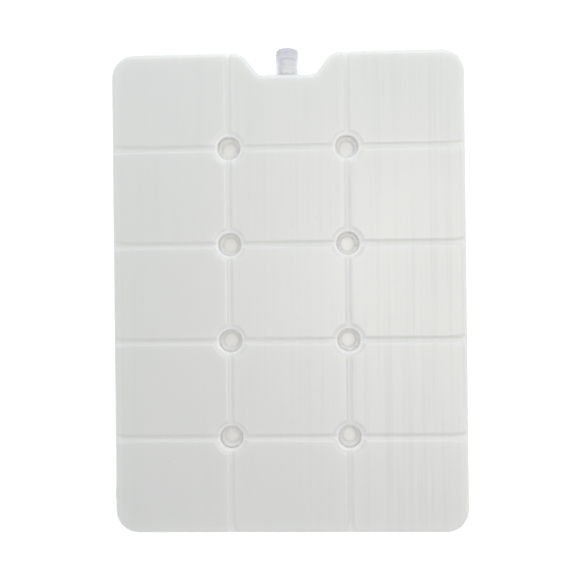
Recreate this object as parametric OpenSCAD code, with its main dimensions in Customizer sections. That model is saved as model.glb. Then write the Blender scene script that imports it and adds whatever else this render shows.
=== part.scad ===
// Reusable ice pack: a blow-moulded plate of pads with kiss-off wells and a capped filling neck.
// The plate lies on its back face. X runs across it, Y towards the neck and Z up through it.

/* [Plate] */
// Width across the columns of pads
plate_w = 300; // [260:1:360]
// Length of the plate, without the neck
plate_l = 408; // [360:1:480]
// Thickness from face to face
plate_t = 30; // [26:0.5:36]
// Radius of the four corners, seen from above
corner_r = 20; // [16:0.5:30]
// Radius of the rolled edge round both faces
edge_r = 4.5; // [3:0.5:7]
// How far each half of the edge leans in, from the parting ridge to its rolled edge
side_draft = 0.5; // [0:0.1:1]
// How far the parting ridge stands out of the edge
seam_h = 0.4; // [0.2:0.1:0.8]
// Width of the parting ridge
seam_w = 1.6; // [1:0.2:2.4]

/* [Pads] */
// Columns of pads
columns = 3; // [2:1:4]
// Rows of pads
rows = 5; // [3:1:6]
// Width of the flat floor of the groove between two pads
groove_floor_w = 1.6; // [1:0.2:5]
// Width of the rounded flank on each side of that floor
groove_flank_w = 2.4; // [1.5:0.1:4]
// Depth of the groove
groove_d = 1.8; // [1:0.1:2.6]
// How much wider the groove is on each side where it runs out over the edge
flare_w = 2.6; // [1:0.2:4]
// Length over which it widens
flare_l = 9; // [6:0.5:14]

/* [Wells] */
// Diameter of the well at its lip
rim_d = 20.6; // [16:0.2:24]
// Diameter of the flat floor of the well
floor_d = 12.4; // [8:0.2:15]
// Width of the ring that sinks from the face to the lip
ring_w = 4; // [2:0.2:6]
// Depth of that ring at the lip
ring_depth = 1.3; // [0.8:0.1:2.2]
// Thickness of the web where two wells meet
web_t = 3.5; // [2:0.1:6]

/* [Notch] */
// Width of the flat floor of the notch
notch_floor_w = 42; // [34:1:60]
// Depth of the notch below the top edge
notch_d = 19; // [15:0.5:24]
// Slope of the sides of the notch, in degrees
notch_slope = 53; // [40:1:65]
// Radius of the round shoulders at the mouth of the notch
shoulder_r = 15; // [10:0.5:16]
// Radius of the hollow corners at the floor of the notch
foot_r = 5.5; // [4:0.5:8]

/* [Neck] */
// Outer diameter of the neck
neck_d = 16.6; // [13:0.2:17]
// Height of the neck above the floor of the notch
neck_h = 15; // [11:0.5:17]
// Thickness of the wall of the neck
neck_wall = 2.8; // [2:0.1:4]
// Depth of the mouth, down to the filling
mouth_h = 9; // [7:0.5:10]
// Radius of the root fillet of the neck
root_r = 1; // [0.5:0.1:1.4]

/* [Cap] */
// Thickness of the skirt of the cap
cap_wall = 1.45; // [1.1:0.05:2.5]
// Height of the solid head of the cap above the rim of the neck
head_h = 8.1; // [5:0.1:12]
// Amount by which the cap narrows on each side towards its top
cap_draft = 0.4; // [0:0.1:0.8]
// Radius of the top edge of the cap
cap_round_r = 1.6; // [0.8:0.2:3]
// Length of the sealing plug inside the mouth
plug_l = 4; // [2:0.5:6]
// Clearance between the cap and the neck, on each side
cap_fit = 0.25; // [0.15:0.05:0.4]
// Gap between the skirt of the cap and the floor of the notch
skirt_gap = 1.2; // [1:0.1:2]

/* [Hidden] */
$fn = 64;
// Cutters pass through a face by this much
over = 1;
// Steps over the flank of a groove, over the flank of a ring and round a cap's top edge
groove_steps = 6;
flank_steps = 5;
round_steps = 5;
// Depth of a groove's end as a share of the groove's, and its narrowing to where it is hidden in
// the groove, as shares of its width and depth
end_depth = 0.95;
end_scale = [0.3, 0.3];
// Widest step of the outline round a corner, in degrees, and steps over the rolled edge
arc_step = 9;
edge_steps = 6;
// Lip of a well: how far it spreads and how far down it reaches
lip = 0.7;
half_w = plate_w / 2;
half_l = plate_l / 2;
notch_floor_y = half_l - notch_d;
well_depth = (plate_t - web_t) / 2;
// Straight part of a notch side, and how far the whole side reaches across
slope_len = (notch_d - (shoulder_r + foot_r) * (1 - cos(notch_slope))) / sin(notch_slope);
slope_reach = (shoulder_r + foot_r) * sin(notch_slope) + slope_len * cos(notch_slope);
corner_x = half_w - corner_r;
corner_y = half_l - corner_r;
shoulder_x = notch_floor_w / 2 + slope_reach;
mouth_d = neck_d - 2 * neck_wall;
// Radii of the cap's bore and skirt, and the height inside it of its seat on the neck's rim
bore_r = neck_d / 2 + cap_fit;
cap_r = bore_r + cap_wall;
seat_h = neck_h - skirt_gap;
cap_h = seat_h + head_h;

// The outline as arcs, anticlockwise from the corner at +X -Y. Each is [centre, radius, first
// and last direction of the outward normal]. A hollow arc has a negative radius.
ARCS = [
    [[corner_x, -corner_y], corner_r, -90, 0],
    [[corner_x, corner_y], corner_r, 0, 90],
    [[shoulder_x, half_l - shoulder_r], shoulder_r, 90, 90 + notch_slope],
    [[notch_floor_w / 2, notch_floor_y + foot_r], -foot_r, 90 + notch_slope, 90],
    [[-notch_floor_w / 2, notch_floor_y + foot_r], -foot_r, 90, 90 - notch_slope],
    [[-shoulder_x, half_l - shoulder_r], shoulder_r, 90 - notch_slope, 90],
    [[-corner_x, corner_y], corner_r, 90, 180],
    [[-corner_x, -corner_y], corner_r, 180, 270],
];

// Points along one arc moved inwards by d
function arc_points(arc, d) =
    let (n = ceil(abs(arc[3] - arc[2]) / arc_step))
    [for (i = [0:n])
        let (a = arc[2] + (arc[3] - arc[2]) * i / n)
        arc[0] + (arc[1] - d) * [cos(a), sin(a)]];

// The whole outline moved inwards by d, from the middle of the edge at -Y, which sees every point
function outline(d) = [[0, d - half_l], for (arc = ARCS) each arc_points(arc, d)];

// Section of the edge as [inset, height]: the lower rolled edge, half of the parting ridge, and
// the same again mirrored at mid height
LOWER_EDGE = [
    for (i = [0:edge_steps])
        let (a = 90 * i / edge_steps)
        [side_draft + edge_r * (1 - sin(a)), edge_r * (1 - cos(a))],
    [0, (plate_t - seam_w) / 2],
    [-seam_h, plate_t / 2 - seam_w / 4],
];
EDGE = concat(LOWER_EDGE, [for (i = [len(LOWER_EDGE) - 1:-1:0])
    [LOWER_EDGE[i][0], plate_t - LOWER_EDGE[i][1]]]);

// The plate before its grooves and wells: the outline lofted through the section of the edge
module plate() {
    n = len(outline(0));
    top = (len(EDGE) - 1) * n;
    polyhedron(
        points = [for (level = EDGE) for (p = outline(level[0])) [p[0], p[1], level[1]]],
        faces = [
            [for (i = [0:n - 1]) i],
            [top, for (i = [n - 1:-1:1]) top + i],
            for (k = [0:len(EDGE) - 2], i = [0:n - 1])
                let (a = k * n + i, b = k * n + (i + 1) % n)
                [a, a + n, b + n, b]
        ],
        convexity = 4);
}

// Fall of a flank of width w and depth d as [across, down], from the face to its foot
function flank(w, d, steps) =
    [for (i = [0:steps]) [w * i / steps, -d * (1 - cos(180 * i / steps)) / 2]];

// Section of a groove: a flat floor between two rounded flanks, below y = 0
module groove_section() {
    half = groove_floor_w / 2 + groove_flank_w;
    side = [for (p = flank(groove_flank_w, groove_d, groove_steps)) [p[0] - half, p[1]]];
    polygon(concat(
        [[half, over], [-half, over]],
        side,
        [for (i = [len(side) - 1:-1:0]) [-side[i][0], side[i][1]]]));
}

// Section of a groove where it runs out over the edge, with its shoulders spread
module groove_end_section() {
    half = groove_floor_w / 2 + groove_flank_w + flare_w;
    floor_half = (groove_floor_w + flare_w) / 2;
    floor_depth = groove_d * end_depth;
    polygon([[half, over], [-half, over], [-half, 0],
             [-floor_half, -floor_depth], [floor_half, -floor_depth], [half, 0]]);
}

// Groove of length l along Y, from its middle, with both ends
module groove(l) {
    rotate([90, 0, 0])
        linear_extrude(l + 2 * over, center = true)
            groove_section();
    for (turn = [0, 180])
        rotate(turn)
            translate([0, l / 2 + over])
                rotate([90, 0, 0])
                    linear_extrude(flare_l + over, scale = end_scale)
                        groove_end_section();
}

// One well: a soft ring down to the lip, a tapered wall and a flat floor
module well() {
    ring_r = rim_d / 2 + lip + ring_w;
    rotate_extrude()
        polygon(concat(
            [[0, over], [ring_r, over]],
            [for (p = flank(ring_w, ring_depth, flank_steps)) [ring_r - p[0], p[1]]],
            [[rim_d / 2, -ring_depth - lip], [floor_d / 2, -well_depth], [0, -well_depth]]));
}

// Grooves and wells of the upper face
module face_cuts() {
    for (i = [1:columns - 1])
        translate([(i / columns - 0.5) * plate_w, 0])
            groove(plate_l);
    for (j = [1:rows - 1])
        translate([0, (j / rows - 0.5) * plate_l])
            rotate(90)
                groove(plate_w);
    for (i = [1:columns - 1], j = [1:rows - 1])
        translate([(i / columns - 0.5) * plate_w, (j / rows - 0.5) * plate_l])
            rotate(45)
                well();
}

// Neck along +Y from the floor of the notch, with a filleted root
module neck() {
    rotate([-90, 45, 0])
        rotate_extrude()
            polygon([[0, -root_r], [neck_d / 2 + root_r, -root_r], [neck_d / 2 + root_r, 0],
                     [neck_d / 2 + root_r * (1 - sin(45)), root_r * (1 - cos(45))],
                     [neck_d / 2, root_r],
                     [neck_d / 2, neck_h], [0, neck_h]]);
}

// Blind mouth of the neck, which the plug of the cap closes
module mouth() {
    translate([0, neck_h - mouth_h, 0])
        rotate([-90, 0, 0])
            cylinder(d = mouth_d, h = mouth_h + over);
}

module shell() {
    color([0.88, 0.89, 0.87])
        difference() {
            union() {
                plate();
                translate([0, notch_floor_y, plate_t / 2]) neck();
            }
            translate([0, 0, plate_t]) face_cuts();
            mirror([0, 0, 1]) face_cuts();
            translate([0, notch_floor_y, plate_t / 2]) mouth();
        }
}

// Clear cap: a skirt round the neck, a plug in its mouth and a solid head above the rim
module filler_cap() {
    top_r = cap_r - cap_draft;
    plug_r = mouth_d / 2 - cap_fit;
    color([0.80, 0.79, 0.86, 0.6])
        translate([0, notch_floor_y + skirt_gap, plate_t / 2])
            rotate([-90, 0, 0])
                rotate_extrude()
                    polygon(concat(
                        [[bore_r, 0], [cap_r, 0]],
                        [for (i = [0:round_steps])
                            let (a = 90 * i / round_steps)
                            [top_r - cap_round_r * (1 - cos(a)),
                             cap_h - cap_round_r * (1 - sin(a))]],
                        [[0, cap_h], [0, seat_h - plug_l], [plug_r, seat_h - plug_l],
                         [plug_r, seat_h], [bore_r, seat_h]]));
}

shell();
filler_cap();
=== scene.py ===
"""Ice pack scene: the blown plate, its clear cap and a pale studio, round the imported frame."""

import math

import bpy
import numpy as np
from bpy.props import FloatProperty, FloatVectorProperty, IntProperty, PointerProperty
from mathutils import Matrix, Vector


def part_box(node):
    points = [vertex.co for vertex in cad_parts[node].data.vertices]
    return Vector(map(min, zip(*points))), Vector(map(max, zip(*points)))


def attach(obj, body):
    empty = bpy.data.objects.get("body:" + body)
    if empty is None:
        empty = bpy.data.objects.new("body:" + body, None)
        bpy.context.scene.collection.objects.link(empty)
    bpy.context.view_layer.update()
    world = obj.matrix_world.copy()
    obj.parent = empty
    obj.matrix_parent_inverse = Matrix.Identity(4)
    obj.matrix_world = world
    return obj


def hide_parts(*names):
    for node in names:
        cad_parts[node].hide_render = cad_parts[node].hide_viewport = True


bl_info = {
    "name": "Ice pack",
    "version": (1, 0, 0),
    "blender": (4, 5, 0),
    "location": "3D View > Sidebar > Ice pack",
    "description": "Builds a blow-moulded ice pack, its cap and a studio",
    "category": "Add Mesh",
}

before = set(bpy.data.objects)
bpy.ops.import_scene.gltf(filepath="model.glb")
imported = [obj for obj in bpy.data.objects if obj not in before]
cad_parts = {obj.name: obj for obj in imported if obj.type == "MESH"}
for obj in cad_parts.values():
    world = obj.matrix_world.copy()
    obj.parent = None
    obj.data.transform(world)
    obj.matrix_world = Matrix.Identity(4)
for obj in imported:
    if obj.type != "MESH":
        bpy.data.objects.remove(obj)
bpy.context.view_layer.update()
SHELL_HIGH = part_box("shell")[1]
SEAM_HEIGHT = 0.0004
# The camera looks down on the pack as in the photograph, whose frame is square
SENSOR = 36.0
FRAME_PIXELS = 580
FOCAL_PIXELS = 720.0
CAMERA_PLACE = (0.01968, 0.00083, 0.63593)
CAMERA_TURN = (0.0012, 0.0312, -0.0109)
# Soft lights: place, target, width and height, and tint. Each name has its power in IcePackStudio
LIGHTS = {
    "key": ((0.13, 0.08, 0.80), (0.13, 0.08, 0.0), (0.45, 0.45), (1.0, 0.82, 0.64)),
    "bar": ((0.12, -0.02, 0.80), (0.12, -0.02, 0.0), (0.20, 0.60), (1.0, 1.0, 1.0)),
    "side": ((0.30, -0.09, 0.80), (0.30, -0.09, 0.0), (0.35, 0.60), (1.0, 0.90, 0.84)),
    "top_strip": ((0.05, 0.80, 0.62), (0.0, 0.05, 0.0), (0.90, 0.12), (0.85, 0.94, 1.0)),
}
SKY_TINT = (0.93, 0.964, 1.0, 1.0)
# Spacing of the mesh in metres: at a groove, how it grows away from one, and its widest
FINE_STEP, STEP_GROWTH = 0.0008, 0.26
WIDE_STEP_X, WIDE_STEP_Y = 0.005, 0.0055
# On each side of the middle, the notch's slopes lie between these, and the mesh is finer there
NOTCH_ZONE, NOTCH_STEP = (0.018, 0.05), 0.0016
# A well's patch of the mesh reaches this far past its ring, and its cone is cut up to short of that
PATCH_MARGIN, CUT_MARGIN = 0.003, 0.001
# The slow waves of the pads, as radians for each metre of x and y, and a phase, and the distance
# from the outline over which they fade
WAVES = ((31.0, 0.0, 1.3), (0.0, 23.0, 0.4), (-19.0, 17.0, 0.0))
WAVE_FADE = 0.02
# Painted light in a groove, a lighter wall colour standing in for light that seeps through the
# wall, as a share of that painted on a well's wall
GROOVE_PAINTED_LIGHT = 0.3


def length(name, description, default):
    """A size in metres that is shown with its unit."""
    return FloatProperty(name=name, description=description, default=default, min=0.0,
                         precision=5, unit="LENGTH")


class IcePackPlate(bpy.types.PropertyGroup):
    """Sizes of the blown plate."""

    half_width: length("Half width", "Half of the width, at the foot of the parting ridge",
                       SHELL_HIGH.x - SEAM_HEIGHT)
    half_length: length("Half length", "Half of the length, at the foot of the parting ridge",
                        SHELL_HIGH.y - SEAM_HEIGHT)
    thickness: length("Thickness", "From face to face", SHELL_HIGH.z)
    corner_radius: length("Corner radius", "Radius of the four corners", 0.020)
    edge_radius: length("Edge radius", "Radius of the rolled edge of both faces", 0.0045)
    side_draft: length("Side draft", "How far each half of the side leans in", 0.0005)
    seam_height: length("Ridge height", "How far the parting ridge stands out", SEAM_HEIGHT)
    seam_width: length("Ridge width", "Width of the parting ridge", 0.0016)
    columns: IntProperty(name="Columns", description="Columns of pads", default=3, min=2)
    rows: IntProperty(name="Rows", description="Rows of pads", default=5, min=2)
    groove_floor: length("Groove floor", "Width of the flat floor of a groove", 0.0016)
    groove_flank: length("Groove flank", "Width of each rounded flank of a groove", 0.0024)
    groove_depth: length("Groove depth", "Depth of a groove", 0.0018)
    flare_width: length("Flare width", "How much wider a flank is at the edge", 0.0026)
    flare_length: length("Flare length", "Length over which a flank widens", 0.009)
    rim: length("Well lip", "Diameter of a well at its lip", 0.0206)
    floor: length("Well floor", "Diameter of a well's flat floor", 0.0124)
    web: length("Web", "Thickness between the floors of two wells", 0.0035)
    ring_width: length("Ring width", "Width of the ring that sinks to the lip", 0.0040)
    ring_depth: length("Ring depth", "Depth of that ring at the lip", 0.0013)
    lip: length("Lip radius", "Roundness of the lip of a well", 0.0009)
    notch_floor: length("Notch floor", "Width of the flat floor of the notch", 0.042)
    notch_depth: length("Notch depth", "Depth of the notch", 0.019)
    notch_slope: FloatProperty(name="Notch slope", description="Slope of the notch's sides",
                               default=math.radians(53), subtype="ANGLE")
    shoulder_radius: length("Shoulder radius", "Round shoulders of the notch", 0.015)
    foot_radius: length("Foot radius", "Hollow corners at the notch's floor", 0.0055)
    sag: length("Pad waviness", "How far the pads wander from flat", 0.00008)
    nub: length("Flash nub", "How far a remnant of flash stands out on the left side", 0.0007)
    nub_down: length("Nub place", "How far the nub lies below the middle of the side", 0.171)
    nub_length: length("Nub length", "Half of the nub's length along the side", 0.0042)
    nub_level: length("Nub level", "Height of the nub over the face below", 0.0235)
    nub_rise: length("Nub rise", "Half of the nub's height", 0.0045)


class IcePackNeck(bpy.types.PropertyGroup):
    """Sizes of the neck and of the cap on it."""

    diameter: length("Neck diameter", "Outer diameter over the thread", 0.0166)
    height: length("Neck height", "Height above the floor of the notch", 0.015)
    wall: length("Neck wall", "Thickness of the neck's wall", 0.0028)
    mouth: length("Mouth depth", "Depth of the mouth", 0.009)
    root: length("Root fillet", "Fillet at the root of the neck", 0.0018)
    pitch: length("Thread pitch", "Rise of the thread in one turn", 0.0042)
    thread: length("Thread height", "Height of the thread", 0.0009)
    cap_wall: length("Cap wall", "Thickness of the skirt of the cap", 0.00145)
    cap_head: length("Cap head", "Height of the solid head", 0.0081)
    cap_draft: length("Cap draft", "Narrowing of the cap on each side", 0.0004)
    cap_round: length("Cap rounding", "Radius of the top edge of the cap", 0.0016)
    plug: length("Plug length", "Length of the plug in the mouth", 0.004)
    fit: length("Cap fit", "Clearance on each side between cap and neck", 0.00025)
    skirt_gap: length("Skirt gap", "Gap below the skirt of the cap", 0.0012)


def colour(name, description, default):
    """A colour in linear light."""
    return FloatVectorProperty(name=name, description=description, default=default,
                               subtype="COLOR", size=3, min=0.0, max=1.0)


class IcePackFinish(bpy.types.PropertyGroup):
    """Colours and finishes."""

    wall: colour("Wall", "Milky natural polyethylene", (0.80, 0.805, 0.79))
    wall_thin: colour("Thin wall", "The same where the wall is thin or streaked",
                      (0.735, 0.752, 0.735))
    # Painted light: a lighter copy of the wall colour, put on the walls of the wells, in the
    # grooves and on the neck, standing in for light that seeps through the thin wall
    wall_painted_light: colour("Hollow wall", "The same in wells and on the neck, where light seeps in",
                        (0.95, 0.95, 0.935))
    speck: colour("Speck", "Specks in the wall", (0.52, 0.51, 0.47))
    cap: colour("Cap skirt", "Clear plastic where it is thin", (0.88, 0.88, 0.92))
    cap_head: colour("Cap head", "The same, violet where it is thick", (0.56, 0.56, 0.62))
    roughness: FloatProperty(name="Roughness", description="Roughness of the wall",
                             default=0.32, min=0.0, max=1.0, subtype="FACTOR")
    floor: colour("Floor", "Paper of the studio floor", (0.93, 0.93, 0.93))


class IcePackStudio(bpy.types.PropertyGroup):
    """Strengths of the lights."""

    key: FloatProperty(name="Key", description="Power of the soft light overhead, in watts",
                       default=0.82, min=0.0)
    bar: FloatProperty(name="Bar", description="Power of the long light overhead, in watts",
                       default=0.52, min=0.0)
    side: FloatProperty(name="Side",
                        description="Power of the soft light right of the middle, in watts",
                        default=0.82, min=0.0)
    top_strip: FloatProperty(name="Top strip",
                             description="Power of the strip beyond the top, in watts",
                             default=2.45, min=0.0)
    sky: FloatProperty(name="Sky", description="Strength of the light from all round",
                       default=0.555, min=0.0)
    glow: FloatProperty(name="Floor glow", description="Light that the floor gives by itself",
                        default=0.45, min=0.0)


# Shapes

def smooth(u):
    """The cosine step: 0 below u = 0, 1 above u = 1 and (1 - cos(pi u)) / 2 between."""
    return 0.5 - 0.5 * np.cos(np.pi * np.clip(u, 0.0, 1.0))


def lower_of(a, b, k):
    """The lower of two heights, with the corner between them rounded over k: half of the sum less
    the root of (a - b)^2 + k^2."""
    return 0.5 * (a + b - np.sqrt((a - b) ** 2 + k * k))


def spaced(low, high, step):
    """Positions from low to high whose spacing follows step(x): equal shares of the integral of
    1 / step."""
    x = np.linspace(low, high, 600)
    rate = 1.0 / step(x)
    share = np.concatenate([[0.0], np.cumsum(0.5 * (rate[1:] + rate[:-1]) * np.diff(x))])
    count = max(1, math.ceil(share[-1]))
    return np.interp(np.linspace(0.0, share[-1], count + 1), share, x)


class Plate:
    """The form of the plate as functions of the place across it, x and y, in metres."""

    def __init__(self, sizes):
        self.s = sizes
        rows, columns = sizes.rows, sizes.columns
        self.rows_y = (np.arange(1, rows) / rows - 0.5) * 2.0 * sizes.half_length
        self.columns_x = (np.arange(1, columns) / columns - 0.5) * 2.0 * sizes.half_width
        self.inset = sizes.side_draft + sizes.edge_radius
        self.notch_y = sizes.half_length - sizes.notch_depth
        self.foot_x = sizes.notch_floor / 2.0
        rounds = sizes.shoulder_radius + sizes.foot_radius
        sine, cosine = math.sin(sizes.notch_slope), math.cos(sizes.notch_slope)
        straight = (sizes.notch_depth - rounds * (1.0 - cosine)) / sine
        self.shoulder_x = self.foot_x + rounds * sine + straight * cosine
        self.well_half = sizes.rim / 2.0 + sizes.lip + sizes.ring_width + PATCH_MARGIN

    def upper_edge(self, x):
        """Height and outward normal of the upper outline moved inwards: hollow arc, slope, round
        arc, straight and corner arc, each met in turn as |x| grows."""
        s, a = self.s, np.abs(x)
        sine, cosine = math.sin(s.notch_slope), math.cos(s.notch_slope)
        foot_r, shoulder_r = s.foot_radius + self.inset, s.shoulder_radius - self.inset
        corner_r = s.corner_radius - self.inset
        foot_y, shoulder_y = self.notch_y + s.foot_radius, s.half_length - s.shoulder_radius
        corner_x, corner_y = s.half_width - s.corner_radius, s.half_length - s.corner_radius
        slope_x, slope_y = self.foot_x + foot_r * sine, foot_y - foot_r * cosine
        where = [a <= self.foot_x, a <= slope_x, a <= self.shoulder_x - shoulder_r * sine,
                 a <= self.shoulder_x, a <= corner_x]
        foot = np.clip((a - self.foot_x) / foot_r, 0.0, 1.0)
        shoulder = np.clip((self.shoulder_x - a) / shoulder_r, 0.0, 1.0)
        corner = np.clip((a - corner_x) / corner_r, 0.0, 1.0)
        zero = np.zeros_like(a)
        y = np.select(where, [zero + self.notch_y - self.inset,
                              foot_y - foot_r * np.sqrt(1.0 - foot ** 2),
                              slope_y + (a - slope_x) * sine / cosine,
                              shoulder_y + shoulder_r * np.sqrt(1.0 - shoulder ** 2),
                              zero + s.half_length - self.inset],
                      corner_y + corner_r * np.sqrt(1.0 - corner ** 2))
        across = np.select(where, [zero, -foot, zero - sine, -shoulder, zero], corner)
        return y, np.stack([across * np.sign(x), np.sqrt(np.clip(1.0 - across ** 2, 0.0, 1.0))], -1)

    def lower_edge(self, x):
        """The same for the lower outline, which has only its corners."""
        s, a = self.s, np.abs(x)
        corner_r = s.corner_radius - self.inset
        corner = np.clip((a - s.half_width + s.corner_radius) / corner_r, 0.0, 1.0)
        fall = np.sqrt(1.0 - corner ** 2)
        y = -(s.half_length - s.corner_radius) - corner_r * fall
        return y, np.stack([corner * np.sign(x), -fall], -1)

    def valley(self, offset, to_edge):
        """Depth of a groove at an offset from its middle: flat, then a cosine flank. Flank and
        floor widen as e to the minus distance to the edge."""
        s = self.s
        flare = s.flare_width * np.exp(-2.0 * np.clip(to_edge, 0.0, None) / s.flare_length)
        start = s.groove_floor / 2.0 + 0.3 * flare
        return s.groove_depth * (1.0 - smooth((np.abs(offset) - start) / (s.groove_flank + flare)))

    def dip(self, x, y):
        """How far the face lies below its plane: the grooves and the rings, joined as the fourth
        root of the sum of their fourth powers."""
        s = self.s
        down = np.abs(x[..., None] - self.columns_x)
        along = np.abs(y[..., None] - self.rows_y)
        reach_y, reach_x = s.half_length - np.abs(y), s.half_width - np.abs(x)
        total = self.valley(down.min(-1), reach_y) ** 4 + self.valley(along.min(-1), reach_x) ** 4
        r = np.hypot(down.min(-1), along.min(-1))
        total += (s.ring_depth * (1.0 - smooth((r - s.rim / 2.0 - s.lip) / s.ring_width))) ** 4
        return total ** 0.25

    def face(self, x, y):
        """Height of the upper face: its plane, less the dip and a slow wave (the product of two
        sines plus a third), cut by each well's cone and closed by its floor."""
        s = self.s
        first, second, third = (np.sin(a * x + b * y + c) for a, b, c in WAVES)
        wave = first * second + third
        near = smooth(np.minimum(s.half_width - np.abs(x), s.half_length - np.abs(y)) / WAVE_FADE)
        z = s.thickness - self.dip(x, y) - 0.5 * s.sag * (1.0 + wave / 2.0) * near
        r = np.hypot(np.abs(x[..., None] - self.columns_x).min(-1),
                     np.abs(y[..., None] - self.rows_y).min(-1))
        bottom = (s.thickness + s.web) / 2.0
        top = s.thickness - s.ring_depth
        cone = bottom + (r - s.floor / 2.0) * (top - bottom) / ((s.rim - s.floor) / 2.0)
        z = np.where(r < self.well_half - CUT_MARGIN, lower_of(z, cone, s.lip), z)
        return np.where(r < s.rim / 2.0, -lower_of(-z, np.full_like(z, -bottom), s.lip), z)

    def hollow(self, points):
        """Share from 0 to 1 of painted light at each point, a lighter wall colour standing in for
        light
        that seeps through the wall: all of it on the wall of a well, and less in a groove."""
        s = self.s
        x, y = points[:, 0], points[:, 1]
        depth = np.minimum(s.thickness - points[:, 2], points[:, 2])
        inside = smooth((self.inset - s.half_width + np.abs(x)) / self.inset)
        groove = smooth((self.dip(x, y) / s.groove_depth - 0.25) / 0.6) * (depth > 0.0)
        r = np.hypot(np.abs(x[:, None] - self.columns_x).min(-1),
                     np.abs(y[:, None] - self.rows_y).min(-1))
        well = 1.0 - smooth((r - s.rim / 2.0) / (2.0 * s.lip))
        well *= smooth((r - s.floor / 2.0) / s.lip)
        return np.maximum(GROOVE_PAINTED_LIGHT * groove * (1.0 - inside), well)

    def edge_levels(self):
        """Section of the side as rows of inset, height and share of the groove's dip, from the face
        at the top to the face below: a quarter circle, whose share of the dip is the cosine of its
        angle to the power 1.5, the wall with the cosine hump of the parting ridge, and back."""
        s = self.s
        a = np.linspace(0.0, np.pi / 2.0, 8)
        roll = np.stack([s.side_draft + s.edge_radius * (1.0 - np.sin(a)),
                         s.thickness - s.edge_radius * (1.0 - np.cos(a)), np.cos(a) ** 1.5], -1)
        middle = s.thickness / 2.0
        h = np.array([4.0, 1.5, 1.0, 0.55, 0.2])[:, None] * s.seam_width / 2.0
        lean = s.side_draft * h / (middle - s.edge_radius)
        ridge = s.seam_height * (1.0 - smooth(h / s.seam_width * 2.0))
        wall = np.concatenate([lean - ridge, middle + h, 0.0 * h], -1)
        upper = np.concatenate([roll, wall])
        lower = upper[::-1] * [1.0, -1.0, 1.0] + [0.0, s.thickness, 0.0]
        return np.concatenate([upper, lower])


def quads(index):
    """Faces between neighbouring rows and columns of a grid of vertex numbers."""
    corners = [index[:-1, :-1], index[1:, :-1], index[1:, 1:], index[:-1, 1:]]
    return np.stack(corners, -1).reshape(-1, 4)


def ring_quads(index):
    """Faces between neighbouring rings of vertex numbers, each ring closed on itself."""
    return quads(np.concatenate([index, index[:, :1]], 1))


def fan(centre, ring):
    """Triangles from one vertex to each side of a closed ring."""
    return np.stack([np.full_like(ring, centre), ring, np.roll(ring, -1)], -1)


def make_piece(name, points, faces, material, node, hollow=None):
    """A mesh object from welded points and outward faces, riding on the one body in place of a
    node. The shares of painted light in hollow, one for each point, become an attribute of the same
    name."""
    key = np.round(points * 1e7).astype(np.int64)
    _, first, number = np.unique(key, axis=0, return_index=True, return_inverse=True)
    number = number.ravel()
    points = points[first]
    faces = [number[f] for f in faces]
    volume = 0.0
    for f in faces:
        a, b, c = points[f[:, 0]], points[f[:, 1]], points[f[:, 2]]
        volume += np.einsum("ij,ij->i", a, np.cross(b, c)).sum()
        if f.shape[1] == 4:
            d = points[f[:, 3]]
            volume += np.einsum("ij,ij->i", a, np.cross(c, d)).sum()
    if volume < 0.0:
        faces = [f[:, ::-1] for f in faces]
    mesh = bpy.data.meshes.new(name)
    mesh.from_pydata(points, [], [row for f in faces for row in f.tolist()])
    if mesh.validate():
        raise RuntimeError(name + " has faces that aren't valid")
    mesh.shade_smooth()
    if hollow is not None:
        mesh.attributes.new("hollow", "FLOAT", "POINT").data.foreach_set("value", hollow[first])
    mesh.materials.append(material)
    piece = bpy.data.objects.new(name, mesh)
    bpy.context.scene.collection.objects.link(piece)
    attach(piece, "root")
    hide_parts(node)
    return piece


def well_patch(loop, centre, plate):
    """Rings of points from a square loop in to the middle of a well: the loop is blended into
    circles of falling radius, whose points even out their angles on the way."""
    s = plate.s
    out = loop - centre
    angle = np.unwrap(np.arctan2(out[:, 1], out[:, 0]))
    even = angle[0] + np.arange(len(loop)) * 2.0 * np.pi / len(loop)
    even += (angle - even).mean()
    outer, lip = s.rim / 2.0 + s.lip + s.ring_width, s.rim / 2.0
    foot = s.floor / 2.0
    radii = np.concatenate([
        [1.03 * outer], np.linspace(outer, lip + 1.2 * s.lip, 7),
        np.linspace(lip + 0.9 * s.lip, lip - 1.2 * s.lip, 8),
        np.linspace(lip - 0.25 * (lip - foot), foot + 0.12 * (lip - foot), 4),
        foot + s.lip * np.array([0.25, -0.05, -0.4, -0.9]), foot * np.array([0.66, 0.33])])
    share = np.clip((outer - radii) / (outer - lip), 0.0, 1.0)[:, None]
    turned = angle * (1.0 - share) + even * share
    circles = centre + radii[:, None, None] * np.stack([np.cos(turned), np.sin(turned)], -1)
    half = 0.5 * (loop + circles[0])
    return np.concatenate([loop[None], half[None], circles])


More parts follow.
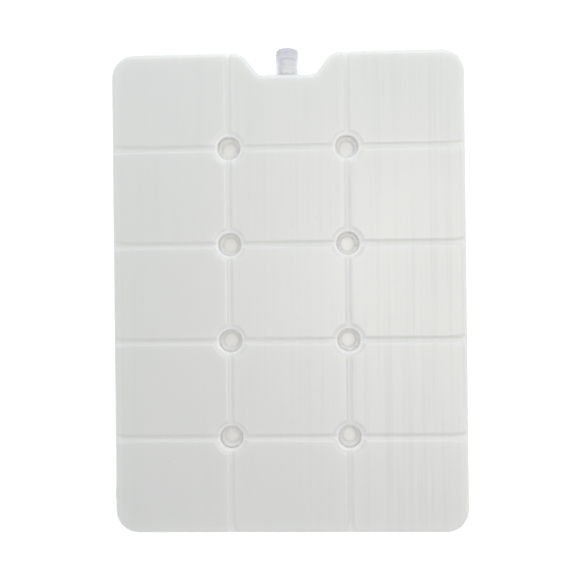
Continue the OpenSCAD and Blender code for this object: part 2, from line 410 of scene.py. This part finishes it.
def plate_surface(plate):
    """Points and faces of the whole plate: a face on a grid that follows the outline, polar patches
    at the wells, the rolled edge carried round, and the other face as the mirror of the first. The
    nub of flash is a hump on the left side: e to the minus fourth power of the distance."""
    s = plate.s
    reach, half_x = plate.well_half, s.half_width - plate.inset
    corner_r, corner_x = s.corner_radius - plate.inset, s.half_width - s.corner_radius
    fine = (s.groove_floor / 2.0 + s.groove_flank) * 0.95

    def step_x(x):
        off = np.abs(x[:, None] - plate.columns_x).min(-1)
        notch = (np.abs(x) > NOTCH_ZONE[0]) & (np.abs(x) < NOTCH_ZONE[1])
        return np.minimum(FINE_STEP + STEP_GROWTH * np.clip(off - fine, 0.0, None),
                          np.where(notch, NOTCH_STEP, WIDE_STEP_X))

    def step_y(y):
        off = np.abs(y[:, None] - plate.rows_y).min(-1)
        return np.minimum(FINE_STEP + STEP_GROWTH * np.clip(off - fine, 0.0, None), WIDE_STEP_Y)

    def chained(stops, step):
        parts = [spaced(a, b, step)[:-1] for a, b in zip(stops[:-1], stops[1:])]
        return np.concatenate(parts + [[stops[-1]]])

    turn = np.sin(np.linspace(0.0, np.pi / 2.0, 13))[1:]
    stops = np.sort(np.concatenate([[-corner_x, 0.0, corner_x], plate.columns_x - reach,
                                    plate.columns_x, plate.columns_x + reach]))
    inner = chained(stops, step_x)
    x = np.concatenate([-(corner_x + corner_r * turn)[::-1], inner, corner_x + corner_r * turn])
    stops = np.sort(np.concatenate([plate.rows_y - reach, plate.rows_y, plate.rows_y + reach]))
    core = chained(stops, step_y)
    low_y, low_n = plate.lower_edge(x)
    high_y, high_n = plate.upper_edge(x)
    to_edge = spaced(0.0, 1.0, lambda t: np.minimum(0.02 + 0.25 * (1.0 - t), 0.03 + 0.25 * t))
    low = low_y + (core[0] - low_y) * (1.0 - to_edge[::-1])[:-1, None]
    high = core[-1] + (high_y - core[-1]) * to_edge[1:, None]
    y = np.concatenate([low, np.repeat(core[:, None], len(x), 1), high])
    x_grid = np.repeat(x[None], len(y), 0)
    index = np.arange(y.size).reshape(y.shape).T
    flat = [np.stack([x_grid, y], -1).reshape(-1, 2)]
    used = len(flat[0])
    cells = quads(index)
    middle = flat[0][cells].mean(1)
    off_x = np.abs(middle[:, :1] - plate.columns_x).min(-1)
    off_y = np.abs(middle[:, 1:] - plate.rows_y).min(-1)
    face_quads = [cells[~((off_x < reach) & (off_y < reach))]]
    face_fans = []

    def border(i0, i1, j0, j1):
        return np.concatenate([index[i0:i1, j0], index[i1, j0:j1],
                               index[i1:i0:-1, j1], index[i0, j1:j0:-1]])

    rows = np.concatenate([low[:, 0], core, high[:, 0]])
    for cx in plate.columns_x:
        for cy in plate.rows_y:
            i0, i1 = (np.abs(x - cx + reach).argmin(), np.abs(x - cx - reach).argmin())
            j0, j1 = (np.abs(rows - cy + reach).argmin(), np.abs(rows - cy - reach).argmin())
            rings = well_patch(flat[0][border(i0, i1, j0, j1)], np.array([cx, cy]), plate)
            numbers = used + np.arange(rings[..., 0].size).reshape(rings.shape[:2])
            flat += [rings.reshape(-1, 2), np.array([[cx, cy]])]
            used += numbers.size + 1
            face_quads.append(ring_quads(numbers)[:, ::-1])
            face_fans.append(fan(used - 1, numbers[-1]))
    flat = np.concatenate(flat)
    top = np.concatenate([flat, plate.face(flat[:, 0], flat[:, 1])[:, None]], 1)

    last_i, last_j = index.shape[0] - 1, index.shape[1] - 1
    loop = border(0, last_i, 0, last_j)
    side_n = np.array([[1.0, 0.0]])
    normals = np.concatenate([low_n[:-1], np.repeat(side_n, last_j, 0),
                              high_n[:0:-1], np.repeat(-side_n, last_j, 0)])
    levels = plate.edge_levels()
    outline = flat[loop]
    move = plate.inset - levels[:, 0]
    spot = outline[None] + move[:, None, None] * normals[None]
    dip = plate.dip(spot[..., 0], spot[..., 1]) * levels[:, 2:3]
    up = np.where(levels[:, 1:2] > s.thickness / 2.0, 1.0, -1.0)
    nub = s.nub * np.exp(-((spot[..., 1] + s.nub_down) / s.nub_length) ** 4)
    nub = nub * np.exp(-((levels[:, 1:2] - s.nub_level) / s.nub_rise) ** 4)
    nub = nub * (spot[..., 0] < -half_x)
    spot = spot + nub[..., None] * normals[None]
    edge = np.concatenate([spot, (levels[:, 1:2] - up * dip)[..., None]], -1)
    edge[0] = top[loop]
    edge[-1] = top[loop] * [1.0, 1.0, -1.0] + [0.0, 0.0, s.thickness]

    count = len(top)
    bottom = top * [1.0, 1.0, -1.0] + [0.0, 0.0, s.thickness]
    edge_index = 2 * count + np.arange(edge[..., 0].size).reshape(edge.shape[:2])
    upper_quads, upper_fans = np.concatenate(face_quads), np.concatenate(face_fans)
    points = np.concatenate([top, bottom, edge.reshape(-1, 3)])
    faces = [upper_quads, upper_quads[:, ::-1] + count, upper_fans, upper_fans[:, ::-1] + count,
             ring_quads(edge_index)]
    return points, faces


def revolved(profile, turns, place):
    """Points and faces of a closed body of revolution about +Y: profile(angle) gives radius and
    height for each step, and both ends lie on the axis."""
    angle = np.arange(turns) * 2.0 * np.pi / turns
    radius, height = profile(angle)
    points = np.stack([radius * np.cos(angle), height + 0.0 * radius, -radius * np.sin(angle)], -1)
    rings = points[1:-1]
    ends = np.stack([points[0, 0], points[-1, 0]])
    index = np.arange(rings[..., 0].size).reshape(rings.shape[:2])
    faces = [ring_quads(index), fan(index.size, index[0]), fan(index.size + 1, index[-1])[:, ::-1]]
    return np.concatenate([rings.reshape(-1, 3), ends]) + place, faces


def neck_profile(neck, angle):
    """Radius and height of the neck from the floor of its mouth, over the rim and down the outside,
    where a ridge with a cosine flank winds up with the thread's pitch and runs out at both ends, to
    a root sunk into the plate."""
    bore = neck.diameter / 2.0 - neck.wall
    core = neck.diameter / 2.0 - neck.thread
    rim = neck.height
    rim_round, step, below_rim = 0.0005, 0.0006, 0.0008
    run_out, sunk = 0.0015, 0.002
    thread_low, thread_high = 0.0025, rim - 0.0016
    curl = np.linspace(0.0, np.pi, 9)[:, None]
    half = (core - bore) / 2.0
    lip_r = bore + half - half * np.cos(curl)
    lip_h = rim - rim_round + rim_round * np.sin(curl)
    h = np.linspace(rim - 2.0 * rim_round, neck.root, 64)[:, None]
    phase = (h / neck.pitch + angle[None] / (2.0 * np.pi)) % 1.0
    ridge = smooth(1.0 - np.abs(phase - 0.5) * 3.4)
    ends = smooth((thread_high - h) / run_out) * smooth((h - thread_low) / run_out)
    wall_r = core + neck.thread * ridge * ends
    foot = np.linspace(0.0, np.pi / 2.0, 6)[1:, None]
    root_r = core + neck.root * (1.0 - np.cos(foot))
    root_h = neck.root * (1.0 - np.sin(foot))
    wide = np.ones((1, len(angle)))
    radius = np.concatenate([0.0 * wide, bore * 0.9 * wide, bore * wide, bore * wide, lip_r * wide,
                             wall_r, root_r * wide, root_r[-1:] * wide, 0.0 * wide])
    floor = rim - neck.mouth
    height = np.concatenate([floor * wide, floor * wide, (floor + step) * wide,
                             (rim - below_rim) * wide, lip_h * wide, h * wide, root_h * wide,
                             -sunk * wide, -sunk * wide])
    return radius, height


def cap_profile(neck, angle):
    """Radius and height of the cap from the middle of its slightly dished top, over the rounded
    edge, down the drafted skirt, up the bore, across the seat and round the plug."""
    edge, hem_round, dish_depth = 0.0003, 0.0004, 0.0003
    tip_round, lead_in = 0.0005, 0.0008
    bore = neck.diameter / 2.0 + neck.fit
    skirt = bore + neck.cap_wall
    seat = neck.height - neck.skirt_gap
    tall = seat + neck.cap_head
    plug = neck.diameter / 2.0 - neck.wall - neck.fit
    top_r = skirt - neck.cap_draft
    dish = np.linspace(0.0, 1.0, 7)[:, None]
    crown_r = (top_r - neck.cap_round) * dish
    crown_h = tall - dish_depth * (1.0 - smooth(dish * 1.25))
    a = np.linspace(0.0, np.pi / 2.0, 9)[1:, None]
    round_r = top_r - neck.cap_round * (1.0 - np.sin(a))
    round_h = tall - neck.cap_round * (1.0 - np.cos(a))
    down = np.linspace(1.0, 0.0, 24)[1:, None]
    wall_h = hem_round + (tall - neck.cap_round - hem_round) * down
    wall_r = skirt - neck.cap_draft * down ** 1.5
    hem = np.array([[skirt - hem_round / 4.0, hem_round / 4.0], [skirt - hem_round, 0.0],
                    [bore + edge, 0.0], [bore, edge]])
    inside = np.array([[bore, seat * 0.25], [bore, seat * 0.5], [bore, seat * 0.75],
                       [bore, seat - edge], [bore - edge, seat], [plug + edge, seat],
                       [plug, seat - edge], [plug, seat - neck.plug * 0.5],
                       [plug - lead_in / 4.0, seat - neck.plug + tip_round],
                       [plug - lead_in, seat - neck.plug], [0.0, seat - neck.plug]])
    rest = np.concatenate([hem, inside])
    wide = np.ones((1, len(angle)))
    radius = np.concatenate([crown_r, round_r, wall_r, rest[:, :1]]) * wide
    height = np.concatenate([crown_h, round_h, wall_h, rest[:, 1:]]) * wide
    return radius, height


# Finishes

class Finish:
    """The nodes of one material, built round its Principled shader."""

    def __init__(self, name):
        self.material = bpy.data.materials.new(name)
        self.material.use_nodes = True
        self.nodes, self.links = self.material.node_tree.nodes, self.material.node_tree.links
        self.shader = self.nodes["Principled BSDF"]

    def put(self, value, socket):
        """Link another socket to this one, or set a plain value, a colour with its alpha."""
        if isinstance(value, bpy.types.NodeSocket):
            self.links.new(value, socket)
        elif socket.type == "RGBA":
            socket.default_value = (*value, 1.0)
        else:
            socket.default_value = value

    def node(self, kind, inputs, **settings):
        """A node of a kind, with its inputs by name or number, and its settings."""
        node = self.nodes.new("ShaderNode" + kind)
        for key, value in settings.items():
            setattr(node, key, value)
        for key, value in inputs.items():
            self.put(value, node.inputs[key])
        return node

    def shade(self, inputs):
        """Set or link inputs of the Principled shader, by name."""
        for key, value in inputs.items():
            self.put(value, self.shader.inputs[key])

    def place(self):
        """The place on the object."""
        return self.node("TexCoord", {}).outputs["Object"]

    def along(self, axis):
        """The place on the object along one axis."""
        return self.node("SeparateXYZ", {"Vector": self.place()}).outputs[axis]

    def noise(self, stretch, scale, detail):
        """Noise over the place, which is stretched along each axis first."""
        spot = self.node("Mapping", {"Vector": self.place(), "Scale": stretch}).outputs["Vector"]
        return self.node("TexNoise", {"Vector": spot, "Scale": scale, "Detail": detail,
                                      "Roughness": 0.55}).outputs["Fac"]

    def ramp(self, value, low=0.0, high=1.0, start=0.0, end=1.0, curve="LINEAR"):
        """A value that goes from start to end as the given one goes from low to high."""
        return self.node("MapRange", {"Value": value, "From Min": low, "From Max": high,
                                      "To Min": start, "To Max": end},
                         interpolation_type=curve).outputs["Result"]

    def blend(self, share, a, b):
        """A colour between two others."""
        return self.node("Mix", {"Factor": share, 6: a, 7: b}, data_type="RGBA").outputs[2]

    def times(self, a, b):
        return self.node("Math", {0: a, 1: b}, operation="MULTIPLY").outputs[0]

    def plus(self, a, b):
        return self.node("Math", {0: a, 1: b}, operation="ADD").outputs[0]


EVEN = (1.0, 1.0, 1.0)


def milky_polyethylene(look):
    """Milky wall: streaks drawn along the plate by the mould, stronger to the right, faint clouds,
    a few specks, and a fine orange-peel bump, with painted light: a lighter wall colour in the
    wells, the grooves and on the neck, set by the hollow attribute. Light goes some millimetres
    into it."""
    finish = Finish("milky polyethylene")
    ramp, noise, times, plus, blend = (finish.ramp, finish.noise, finish.times, finish.plus,
                                       finish.blend)
    # Streaks of about 4 mm and lines of about 1.6 mm, in patches
    streaks = ramp(noise((1.0, 0.012, 0.3), 260.0, 3.0), 0.50, 0.68)
    lines = ramp(noise((1.0, 0.006, 0.3), 620.0, 2.0), 0.54, 0.66)
    patch = ramp(noise((1.0, 0.7, 1.0), 14.0, 1.0), 0.32, 0.60)
    right = ramp(finish.along("X"), 0.02, 0.08, start=0.40, curve="SMOOTHSTEP")
    drawn = times(times(plus(times(streaks, 0.6), times(lines, 0.5)), patch), right)
    clouds = ramp(noise(EVEN, 17.0, 1.5), 0.15, 0.85)
    tone = plus(times(drawn, 0.95), times(clouds, 0.15))
    # Specks are the hearts of some cells
    cells = finish.node("TexVoronoi", {"Vector": finish.place(), "Scale": 85.0})
    dots = ramp(cells.outputs["Distance"], 0.050, 0.035)
    rare = ramp(noise(EVEN, 21.0, 1.0), 0.60, 0.66)
    base = blend(tone, look.wall, look.wall_thin)
    base = blend(times(times(dots, rare), 0.45), base, look.speck)
    # Painted light: the hollow attribute blends in the lighter wall colour where light is taken to
    # seep through the wall
    hollow = finish.node("Attribute", {}, attribute_name="hollow").outputs["Fac"]
    peel = noise(EVEN, 900.0, 3.0)
    bump = finish.node("Bump", {"Height": plus(times(peel, 0.35), times(drawn, 0.8)),
                                "Strength": 0.10, "Distance": 0.0002})
    finish.shade({
        "Base Color": blend(hollow, base, look.wall_painted_light),
        "Roughness": ramp(clouds, start=look.roughness - 0.03, end=look.roughness + 0.05),
        "Normal": bump.outputs["Normal"],
        "IOR": 1.53,
        "Specular IOR Level": 0.5,
        "Subsurface Weight": 1.0,
        "Subsurface Radius": (1.0, 1.0, 0.9),
        "Subsurface Scale": 0.009,
    })
    return finish.material


def clear_plastic(look, head_y):
    """Clear cap: polished, hazed by faint drawn marks, with a violet tint that deepens from the
    skirt to the solid head, whose foot is at head_y. It is denser where light passes at a slant."""
    finish = Finish("clear violet plastic")
    ramp, noise, times, blend = finish.ramp, finish.noise, finish.times, finish.blend
    haze = ramp(noise((1.0, 0.2, 1.0), 420.0, 3.0), 0.3, 0.8)
    bands = ramp(noise((0.15, 1.0, 0.15), 520.0, 1.0), start=0.8, end=1.2)
    thick = times(ramp(finish.along("Y"), head_y - 0.0015, head_y + 0.0015), bands)
    base = blend(thick, look.cap, look.cap_head)
    slant = finish.node("LayerWeight", {"Blend": 0.5}).outputs["Facing"]
    finish.shade({
        "Base Color": blend(times(haze, 0.3), base, tuple(0.94 * c for c in look.cap)),
        "Roughness": ramp(haze, start=0.12, end=0.28),
        "IOR": 1.49,
        "Alpha": ramp(slant, start=ramp(thick, start=0.06, end=0.55), end=0.70),
    })
    return finish.material


def studio_paper(look, glow):
    """Matte paper with a faint fibre grain, which gives a little light of its own so that it stays
    pale at its far side."""
    finish = Finish("studio paper")
    grain = finish.ramp(finish.noise(EVEN, 300.0, 3.0), 0.3, 0.7)
    light_grain = tuple(min(1.0, 1.02 * c) for c in look.floor)
    finish.shade({
        "Base Color": finish.blend(grain, look.floor, light_grain),
        "Roughness": 0.9,
        "Specular IOR Level": 0.1,
        "Emission Color": (1.0, 1.0, 1.0),
        "Emission Strength": glow,
    })
    return finish.material


# Operators

class ICEPACK_OT_shell(bpy.types.Operator):
    """Build the blown plate with its pads, grooves, wells and notch, and the neck in the notch"""

    bl_idname = "icepack.shell"
    bl_label = "Build the shell"

    def execute(self, context):
        scene = context.scene
        plate = Plate(scene.ice_pack_plate)
        points, faces = plate_surface(plate)
        place = np.array([0.0, plate.notch_y, plate.s.thickness / 2.0])
        neck = scene.ice_pack_neck
        neck_points, neck_faces = revolved(lambda a: neck_profile(neck, a), 80, place)
        faces = faces + [f + len(points) for f in neck_faces]
        # Painted light: the neck takes the full lighter wall colour, and the plate takes its shares
        # from Plate.hollow
        hollow = np.concatenate([plate.hollow(points), np.ones(len(neck_points))])
        make_piece("shell_moulding", np.concatenate([points, neck_points]), faces,
                   milky_polyethylene(scene.ice_pack_finish), "shell", hollow)
        return {"FINISHED"}


class ICEPACK_OT_cap(bpy.types.Operator):
    """Build the clear cap on the neck"""

    bl_idname = "icepack.cap"
    bl_label = "Build the cap"

    def execute(self, context):
        scene = context.scene
        plate, neck = Plate(scene.ice_pack_plate), scene.ice_pack_neck
        place = np.array([0.0, plate.notch_y + neck.skirt_gap, plate.s.thickness / 2.0])
        points, faces = revolved(lambda a: cap_profile(neck, a), 128, place)
        head_y = plate.notch_y + neck.height
        make_piece("clear_filler_cap", points, faces, clear_plastic(scene.ice_pack_finish, head_y),
                   "filler_cap")
        return {"FINISHED"}


def aimed_light(name, place, target, size, power, tint):
    """A rectangular area light that looks from its place at a target."""
    data = bpy.data.lights.new(name, "AREA")
    data.shape = "RECTANGLE"
    data.size, data.size_y = size
    data.energy = power
    data.color = tint
    light = bpy.data.objects.new(name, data)
    bpy.context.scene.collection.objects.link(light)
    light.location = place
    light.rotation_euler = (Vector(target) - Vector(place)).to_track_quat("-Z", "Y").to_euler()
    return light


class ICEPACK_OT_studio(bpy.types.Operator):
    """Lay the pale floor and set up the soft lights and the camera"""

    bl_idname = "icepack.studio"
    bl_label = "Set up the studio"

    def execute(self, context):
        scene, studio = context.scene, context.scene.ice_pack_studio
        reach = 3.0
        corners = [(-reach, -reach, 0.0), (reach, -reach, 0.0), (reach, reach, 0.0),
                   (-reach, reach, 0.0)]
        mesh = bpy.data.meshes.new("studio_floor")
        mesh.from_pydata(corners, [], [(0, 1, 2, 3)])
        mesh.materials.append(studio_paper(scene.ice_pack_finish, studio.glow))
        floor = bpy.data.objects.new("studio_floor", mesh)
        scene.collection.objects.link(floor)
        for name, (place, target, size, tint) in LIGHTS.items():
            aimed_light(name, place, target, size, getattr(studio, name), tint)
        world = bpy.data.worlds.new("studio_sky")
        world.use_nodes = True
        sky = world.node_tree.nodes["Background"]
        sky.inputs["Color"].default_value = SKY_TINT
        sky.inputs["Strength"].default_value = studio.sky
        scene.world = world
        data = bpy.data.cameras.new("camera")
        data.sensor_width = SENSOR
        data.lens = SENSOR * FOCAL_PIXELS / FRAME_PIXELS
        data.clip_start = 0.01
        camera = bpy.data.objects.new("camera", data)
        camera.location = CAMERA_PLACE
        camera.rotation_euler = CAMERA_TURN
        scene.collection.objects.link(camera)
        scene.camera = camera
        scene.view_settings.view_transform = "Standard"
        return {"FINISHED"}


class ICEPACK_PT_panel(bpy.types.Panel):
    """Sizes, finishes and build buttons"""

    bl_idname = "ICEPACK_PT_panel"
    bl_label = "Ice pack"
    bl_space_type = "VIEW_3D"
    bl_region_type = "UI"
    bl_category = "Ice pack"

    def draw(self, context):
        layout, scene = self.layout, context.scene
        for operator in OPERATORS:
            layout.operator(operator.bl_idname)
        for name in GROUPS:
            box = layout.box()
            group = getattr(scene, name)
            for key in group.__annotations__:
                box.prop(group, key)


OPERATORS = (ICEPACK_OT_shell, ICEPACK_OT_cap, ICEPACK_OT_studio)
GROUPS = {
    "ice_pack_plate": IcePackPlate,
    "ice_pack_neck": IcePackNeck,
    "ice_pack_finish": IcePackFinish,
    "ice_pack_studio": IcePackStudio,
}


def register():
    for group in GROUPS.values():
        bpy.utils.register_class(group)
    for name, group in GROUPS.items():
        setattr(bpy.types.Scene, name, PointerProperty(type=group))
    for operator in OPERATORS:
        bpy.utils.register_class(operator)
    bpy.utils.register_class(ICEPACK_PT_panel)


def unregister():
    bpy.utils.unregister_class(ICEPACK_PT_panel)
    for operator in reversed(OPERATORS):
        bpy.utils.unregister_class(operator)
    for name in GROUPS:
        delattr(bpy.types.Scene, name)
    for group in reversed(list(GROUPS.values())):
        bpy.utils.unregister_class(group)


def main():
    register()
    bpy.ops.icepack.shell()
    bpy.ops.icepack.cap()
    bpy.ops.icepack.studio()


if __name__ == "__main__":
    main()
